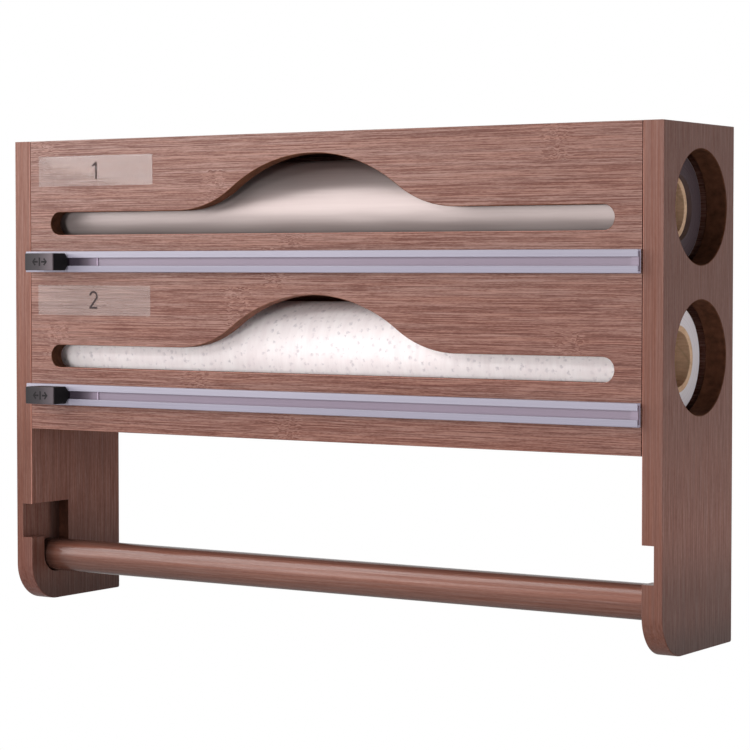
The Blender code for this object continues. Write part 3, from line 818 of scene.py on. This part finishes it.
def railFinish(name, tone):
    # Drawn metal with fine lines along the rail.
    finish, tree, shader, place = newFinish(name)
    drawn = cloud(tree, place, (4, 2400, 2400))
    slow = cloud(tree, place, (12, 40, 40), 1.0)
    level = sums(tree, "MULTIPLY_ADD", slow, 0.4, sums(tree, "MULTIPLY", drawn, 0.6))
    colour = spread(tree, level, shade(tone, 0.93), shade(tone, 1.07))
    cover(tree, shader, colour, 0.55, spread(tree, drawn, 0.30, 0.38))
    emboss(tree, shader, drawn, 0.08, 0.00005)
    return finish


def railSection():
    # (y, z) from the middle of the rail's back, lower half first and then its mirror.
    look = rail
    half, cavity, slot = look["height"] / 2, look["height"] / 2 - look["wall"], look["slot"] / 2
    front, edge, nose = -look["depth"], look["round"], look["nose"]
    lower = [(0, -half + look["heel"]), (-look["heel"], -half)]
    lower += arc(front + look["fall"] + edge, -half + edge, edge, 1.5 * math.pi, math.pi, 6)
    lower += arc(front + nose, -slot - nose, nose, math.pi, math.pi / 2, 4)
    lower += [(front + look["lip"], -slot), (front + look["lip"], -cavity), (-look["web"], -cavity)]
    return lower + [(y, -z) for y, z in reversed(lower)]


def railMesh(height):
    bm = bmesh.new()
    section = railSection()
    half, strip = case["boardHalf"], rail["endStrip"]
    rings = []
    for x in (-half, -half + strip, half - strip, half):
        rings.append([bm.verts.new(inCase(x, rail["back"] + y, height + z)) for y, z in section])
    lipBack, wall = -rail["depth"] + rail["lip"] - 0.01, rail["height"] / 2 - 0.5
    for lower, upper in zip(rings, rings[1:]):
        for k in range(len(lower)):
            # 0 outside, 1 groove, 2 sawn end
            face = bm.faces.new((lower[k - 1], lower[k], upper[k], upper[k - 1]))
            groove = all(y > lipBack and abs(z) < wall for y, z in (section[k - 1], section[k]))
            face.material_index = 1 if groove else 0
    for ring in (rings[0], rings[-1]):
        bm.faces.new(ring).material_index = 2
    return bm


satinRail = railFinish("satinRail", (0.275, 0.258, 0.325))
railChannel = railFinish("railChannel", (0.235, 0.185, 0.245))
# The sawn ends are a lighter copy of the rail: painted light.
railEndLight = railFinish("railEndLit", (0.48, 0.47, 0.60))
for tier, height in case["railHeights"].items():
    name = tier + "_cutter_rail"
    piece(name, railMesh(height), [satinRail, railChannel, railEndLight], "case", [name])
print("rails drawn")


# Cutter sliders

slider = {
    "x": -168.1,
    "half": (9.8, 4.65),
    "foot": -4.8,           # where the grip starts in front of the rail
    "footHalf": 2.2,
    "lead": 2.2,            # over which the grip widens from its foot
    "top": -16.5,
    "topRound": 0.2,
    "round": 0.45,
    "ease": 0.1,            # broken edges at the back
    "face": (-16.65, -17.55),
    "faceRound": 0.3,
    "paintedFade": (-152.0, -139.2),  # painted shade by the grip fades to a painted highlight at the shoe's tip, from here to here
}


def roundedBox(halfX, halfZ, radius, steps=5):
    corners = []
    for cx, cz, start in ((1, -1, -0.5), (1, 1, 0), (-1, 1, 0.5), (-1, -1, 1)):
        u, v = cx * (halfX - radius), cz * (halfZ - radius)
        corners += arc(u, v, radius, start * math.pi, (start + 0.5) * math.pi, steps)
    return corners


def plasticFinish(name, tone, rough, sheen, grain=0.1):
    # Moulded plastic with a fine grain, also used for ink and foam.
    finish, tree, shader, place = newFinish(name)
    moulded = cloud(tree, place, (900, 900, 900), 3.0, 0.6)
    colour = spread(tree, moulded, shade(tone, 0.88), shade(tone, 1.12))
    cover(tree, shader, colour, sheen, spread(tree, moulded, rough + 0.05, rough - 0.03))
    emboss(tree, shader, moulded, grain, 0.00006)
    return finish


def across(tree, place, left, right):
    # 0 at the left, 1 at the right, given in millimetres from the middle of the case.
    value = add(tree, "SeparateXYZ", {"Vector": place}).outputs["X"]
    return between(tree, value, left * mm, right * mm)


def faceFinish(name, level):
    # Grey satin cap with a painted reflection: darker towards its left end, lighter at its right. level: how
    # light this copy is, as painted shade.
    finish, tree, shader, place = newFinish(name)
    fine = cloud(tree, place, (1500, 1500, 1500))
    half = slider["half"][0]
    reach = across(tree, place, slider["x"] - half, slider["x"] + half)
    tones = [(0.06, (0.032, 0.029, 0.031)), (0.55, (0.058, 0.049, 0.054)), (1.0, (0.14, 0.114, 0.127))]
    stops = [(at, shade(tone, level)) for at, tone in tones]
    colour = ramp(tree, sums(tree, "MULTIPLY_ADD", fine, 0.12, reach), stops)
    cover(tree, shader, colour, 0.12, 0.42)
    emboss(tree, shader, fine, 0.06, 0.00005)
    return finish


def shoeFinish():
    # Dark shoe with painted shade by the grip, and a painted highlight where it ends in the rail's groove.
    finish, tree, shader, place = newFinish("greyPlastic")
    moulded = cloud(tree, place, (900, 900, 900), 3.0, 0.6)
    reach = across(tree, place, *slider["paintedFade"])
    stops = [(0.03, (0.034, 0.025, 0.037)), (0.5, (0.085, 0.066, 0.088))]
    stops += [(0.965, (0.225, 0.178, 0.235)), (0.997, (0.62, 0.50, 0.64))]
    colour = ramp(tree, sums(tree, "MULTIPLY_ADD", moulded, 0.02, reach), stops)
    cover(tree, shader, colour, 0.2, 0.45)
    return finish


def gripMesh(height):
    # The foot narrows above and below towards the rail, the top edge is rounded.
    look = slider
    halfX, halfZ = look["half"]
    foot, footHalf, ease = look["foot"], look["footHalf"], look["ease"]
    rings = [(foot, halfX - ease, footHalf - ease), (foot - ease, halfX, footHalf)]
    rings += [(foot - look["lead"], halfX, halfZ)]
    top = reversed(roundOver(look["topRound"], 3))
    rings += [(look["top"] + up, halfX - back, halfZ - back) for back, up in top]
    return stack(rings, look["round"], height)


def faceMesh(height):
    # A flat cap with a rounded rim.
    look = slider
    halfX, halfZ = look["half"]
    ease, (back, front) = look["ease"], look["face"]
    rings = [(back, halfX - ease, halfZ - ease), (back - ease, halfX, halfZ)]
    rim = reversed(roundOver(look["faceRound"], 4))
    rings += [(front + up, halfX - cut, halfZ - cut) for cut, up in rim]
    bm = stack(rings, look["round"], height, close=False)
    foremost = [vert for vert in bm.verts if vert.co.y < inCase(0, front + 0.001, 0).y]
    edges = [edge for edge in bm.edges if all(vert in foremost for vert in edge.verts)]
    bmesh.ops.triangle_fill(bm, use_beauty=True, use_dissolve=True, edges=edges)
    return bm


def stack(rings, radius, height, close=True):
    # Rounded boxes one behind the other. rings: (y, half the width, half the height)
    bm = bmesh.new()
    loops = []
    for y, halfX, halfZ in rings:
        outline = roundedBox(halfX, halfZ, min(radius, halfZ * 0.9))
        loops.append([bm.verts.new(inCase(slider["x"] + u, y, height + v)) for u, v in outline])
    for lower, upper in zip(loops, loops[1:]):
        for k in range(len(lower)):
            bm.faces.new((lower[k - 1], lower[k], upper[k], upper[k - 1]))
    bm.faces.new(loops[0])
    if close:
        bm.faces.new(loops[-1])
    return bm


def stroke(bm, points, width, place, thickness):
    # A printed line of even width through the points, which lie in the plane of the front.
    x, y, z = place
    loops = []
    for k, point in enumerate(points):
        before, after = Vector(points[max(k - 1, 0)]), Vector(points[min(k + 1, len(points) - 1)])
        run = (after - before).normalized()
        sideways = Vector((-run.y, run.x)) * width / 2
        u, v = point
        sides = [(u + sideways.x, v + sideways.y), (u - sideways.x, v - sideways.y)]
        corners = [(*sides[0], 0), (*sides[1], 0), (*sides[1], thickness), (*sides[0], thickness)]
        loops.append([bm.verts.new(inCase(x + a, y - w, z + b)) for a, b, w in corners])
    for lower, upper in zip(loops, loops[1:]):
        for k in range(4):
            bm.faces.new((lower[k - 1], lower[k], upper[k], upper[k - 1]))
    bm.faces.new(loops[0])
    bm.faces.new(loops[-1])


mark = {
    "shift": 0.6,           # to the right of the slider's middle
    "reach": 4.8,
    "start": 1.2,           # of each arrow, beside the bar
    "head": 1.8,
    "bar": 2.3,
    "width": 1.0,
    "thickness": 0.03,
    "overlap": 1.3,         # crossing strokes differ in thickness by this
}


def arrowMark(height):
    # A double arrow with a bar in its middle.
    bm = bmesh.new()
    place = (slider["x"] + mark["shift"], slider["face"][1], height)
    reach, head, width, thickness = mark["reach"], mark["head"], mark["width"], mark["thickness"]
    for side in (-1, 1):
        tip = (side * reach, 0)
        stroke(bm, [(side * mark["start"], 0), tip], width, place, thickness)
        barbs = [(side * (reach - head), head), tip, (side * (reach - head), -head)]
        stroke(bm, barbs, width, place, thickness * mark["overlap"])
    stroke(bm, [(0, -mark["bar"]), (0, mark["bar"])], width, place, thickness)
    return bm


blackPlastic = plasticFinish("blackPlastic", (0.0085, 0.0078, 0.0085), 0.5, 0.12)
greyPlastic = shoeFinish()
markInk = plasticFinish("markInk", (0.012, 0.010, 0.011), 0.5, 0.1)
# The lower cap is a darker copy of the upper one: painted shade.
paintedSheenFaces = {"upper": faceFinish("paintedSheenFace", 0.9), "lower": faceFinish("shadedSheenFace", 0.68)}
for tier, height in case["railHeights"].items():
    body = tier + "_slider"
    grip, cap = body + "_grip", body + "_face"
    piece(grip, gripMesh(height), [blackPlastic], body, [grip])
    piece(cap, faceMesh(height), [paintedSheenFaces[tier]], body, [cap])
    piece(tier + "_arrow_mark", arrowMark(height), [markInk], body, weighted=False)
print("sliders made")


# Stickers, with plain numbers for the two rolls

stickers = {
    "upper": {"x": (-182.6, -103.4), "z": (229.9, 246.3), "number": 1},
    "lower": {"x": (-183.4, -105.1), "z": (159.6, 175.9), "number": 2},
    "thickness": 0.14,
    "round": 0.5,
    "clear": 0.01,          # between panel and sticker, and between sticker and print
    "digit": 9.2,
    "line": 1.15,
    "ink": (0.02, 0.03),    # the thickness of crossing strokes
}


def stickerFinish():
    # Clear glossy film with a thin haze.
    finish, tree, shader, place = newFinish("clearSticker")
    haze = cloud(tree, place, (40, 40, 40))
    cover(tree, shader, spread(tree, haze, (0.60, 0.53, 0.51), (0.66, 0.59, 0.57)), 1.0, 0.05)
    shader.inputs["IOR"].default_value = 1.7
    shader.inputs["Alpha"].default_value = 0.115
    return finish


def numberMesh(number, place):
    # A plain digit drawn with one pen, its proportions given as parts of half its height.
    rise, pen = stickers["digit"] / 2, stickers["line"]
    thin, thick = stickers["ink"]
    bm = bmesh.new()
    if number == 1:
        stem = 0.2 * rise
        stroke(bm, [(stem, -rise), (stem, rise)], pen, place, thin)
        stroke(bm, [(stem, rise - 0.3), (-0.42 * rise, 0.52 * rise)], pen, place, thick)
    else:
        bow, foot = 0.52 * rise, -rise + pen / 2
        top = arc(0, rise - bow, bow, math.pi * 0.95, -math.pi * 0.18, 14)
        stroke(bm, top + [(-bow * 1.05, foot)], pen, place, thin)
        stroke(bm, [(-bow * 1.2, foot), (bow * 1.1, foot)], pen, place, thick)
    return bm


def stickerMesh(halfX, halfZ, midX, midZ):
    outline = [(midX + u, midZ + v) for u, v in roundedBox(halfX, halfZ, stickers["round"])]
    bm = bmesh.new()
    front = [bm.verts.new(inCase(u, -stickers["thickness"], v)) for u, v in outline]
    back = [bm.verts.new(inCase(u, -stickers["clear"], v)) for u, v in outline]
    bm.faces.new(front)
    bm.faces.new(back)
    for k in range(len(front)):
        bm.faces.new((back[k - 1], back[k], front[k], front[k - 1]))
    return bm


clearSticker = stickerFinish()
printInk = plasticFinish("printInk", (0.05, 0.033, 0.033), 0.4, 0.1)
for tier in case["railHeights"]:
    look = stickers[tier]
    (x0, x1), (z0, z1) = look["x"], look["z"]
    midX, midZ = (x0 + x1) / 2, (z0 + z1) / 2
    sticker = stickerMesh((x1 - x0) / 2, (z1 - z0) / 2, midX, midZ)
    piece(tier + "_sticker", sticker, [clearSticker], "case", weighted=False)
    digit = numberMesh(look["number"], (midX, -stickers["thickness"] - stickers["clear"], midZ))
    piece(tier + "_number", digit, [printInk], "case", weighted=False)
print("stickers laid")


# Finishes of the pieces that keep their own shape

def steelFinish():
    # Blade steel with the marks of its grinding.
    finish, tree, shader, place = newFinish("groundSteel")
    marks = cloud(tree, place, (2200, 60, 2200))
    colour = spread(tree, marks, (0.52, 0.52, 0.54), (0.66, 0.66, 0.68))
    cover(tree, shader, colour, 0.5, spread(tree, marks, 0.2, 0.32))
    shader.inputs["Metallic"].default_value = 1.0
    return finish


tapeFoam = plasticFinish("foamTape", (0.55, 0.55, 0.52), 0.8, 0.2, 0.4)
groundSteel = steelFinish()
kept = {
    "shelf": boardWood,
    "top_board": boardWood,
    "dowel": boardWood,
    "rail_tape": tapeFoam,
    "rail_stop": railChannel,
    "slider_shoe": greyPlastic,
    "slider_blade": groundSteel,
}
for name, node in nodes.items():
    for part, finish in kept.items():
        if part in name and not node.hide_render:
            node.data.materials.clear()
            node.data.materials.append(finish)
print("kept pieces finished")


# Floor, world and lamps

# In metres. fade: from the middle, where the floor starts to pale and where it is white
floor = {"height": -0.54, "radius": 6.0, "tone": 0.72, "fade": (0.7, 1.4)}


def seenDirectly(tree):
    # 1 for the camera, for reflections and for what is seen through glass, 0 for light.
    rays = add(tree, "LightPath").outputs
    seen = sums(tree, "MAXIMUM", rays["Is Camera Ray"], rays["Is Glossy Ray"])
    return sums(tree, "MAXIMUM", seen, rays["Is Transmission Ray"])


def floorFinish():
    # A pale floor that fades to white away from the case.
    finish, tree, shader, place = newFinish("paleFloor")
    tree.nodes.remove(shader)
    distance = add(tree, "VectorMath", {0: place}, operation="LENGTH").outputs["Value"]
    fade = between(tree, distance, *floor["fade"])
    matt = add(tree, "BsdfDiffuse", {"Color": (*(floor["tone"],) * 3, 1)}).outputs["BSDF"]
    white = add(tree, "Emission", {"Color": (1, 1, 1, 1), "Strength": 1.0}).outputs["Emission"]
    far = sums(tree, "MULTIPLY", seenDirectly(tree), fade)
    both = add(tree, "MixShader", {"Fac": far, 1: matt, 2: white})
    link(tree, both.outputs["Shader"], tree.nodes["Material Output"].inputs["Surface"])
    return finish


bm = bmesh.new()
bmesh.ops.create_circle(bm, cap_ends=True, segments=96, radius=floor["radius"])
mesh = bpy.data.meshes.new("floor")
bm.to_mesh(mesh)
bm.free()
mesh.materials.append(floorFinish())
ground = bpy.data.objects.new("floor", mesh)
ground.location = (0, 0, floor["height"])
bpy.context.scene.collection.objects.link(ground)

sky = {"light": (0.025, 0.025, 0.027), "seen": (1, 1, 1)}
world = bpy.data.worlds.new("studio")
world.use_nodes = True
bpy.context.scene.world = world
tree = world.node_tree
skyColour = mix(tree, seenDirectly(tree), sky["light"], sky["seen"])
link(tree, skyColour, tree.nodes["Background"].inputs["Color"])

# Each lamp is a sheet of light: its middle, the run of its width and of its height, and its glow.
warmWhite, coolWhite = (1, 0.985, 0.98), (0.98, 0.98, 1)
lamps = {
    "key": {"middle": (-0.861, -1.24, 0.258), "run": (0.773, -0.563, -0.292), "rise": (0.548, 0.363, 0.754),
            "size": (0.42, 0.5), "glow": 4.0, "colour": warmWhite},
    "front": {"middle": (0, -1.777, -0.02), "run": (1, 0, 0), "rise": (0, 0, 1),
              "size": (0.5, 0.3), "glow": 24.6, "colour": warmWhite},
    "frontHigh": {"middle": (0, -1.674, 0.561), "run": (1, 0, 0), "rise": (0, 0.342, 0.94),
                  "size": (0.4, 0.2), "glow": 28.0, "colour": warmWhite},
    "left": {"middle": (-1.271, -0.81, 0.292), "run": (0.5, -0.866, 0), "rise": (0.18, 0.104, 0.978),
             "size": (0.7, 0.7), "glow": 5.45, "colour": warmWhite},
    "leftHigh": {"middle": (-0.858, -0.634, 1.077), "run": (0.545, -0.839, 0), "rise": (0.613, 0.398, 0.682),
                 "size": (0.7, 1.05), "glow": 4.65, "colour": warmWhite},
    "right": {"middle": (1.491, -0.233, -0.072), "run": (0.105, 0.995, 0), "rise": (0.035, -0.004, 1),
              "size": (0.8, 0.6), "glow": 4.4, "colour": coolWhite},
    "fill": {"middle": (1.136, -1.72, -0.05), "run": (0.822, 0.568, 0), "rise": (0, 0, 1),
             "size": (0.4, 0.3), "glow": 6.6, "colour": warmWhite},
}


def softbox(name, look):
    lamp = bpy.data.lights.new(name, "AREA")
    lamp.shape = "RECTANGLE"
    lamp.size, lamp.size_y = look["size"]
    lamp.energy = look["glow"] * math.pi * lamp.size * lamp.size_y
    lamp.color = look["colour"]
    made = bpy.data.objects.new(name, lamp)
    run, rise = Vector(look["run"]).normalized(), Vector(look["rise"])
    rise = (rise - rise.dot(run) * run).normalized()
    turn = Matrix((run, rise, run.cross(rise))).transposed().to_4x4()
    made.matrix_world = Matrix.Translation(look["middle"]) @ turn
    bpy.context.scene.collection.objects.link(made)


for lampName, look in lamps.items():
    softbox(lampName, look)
print("floor, world and lamps set")
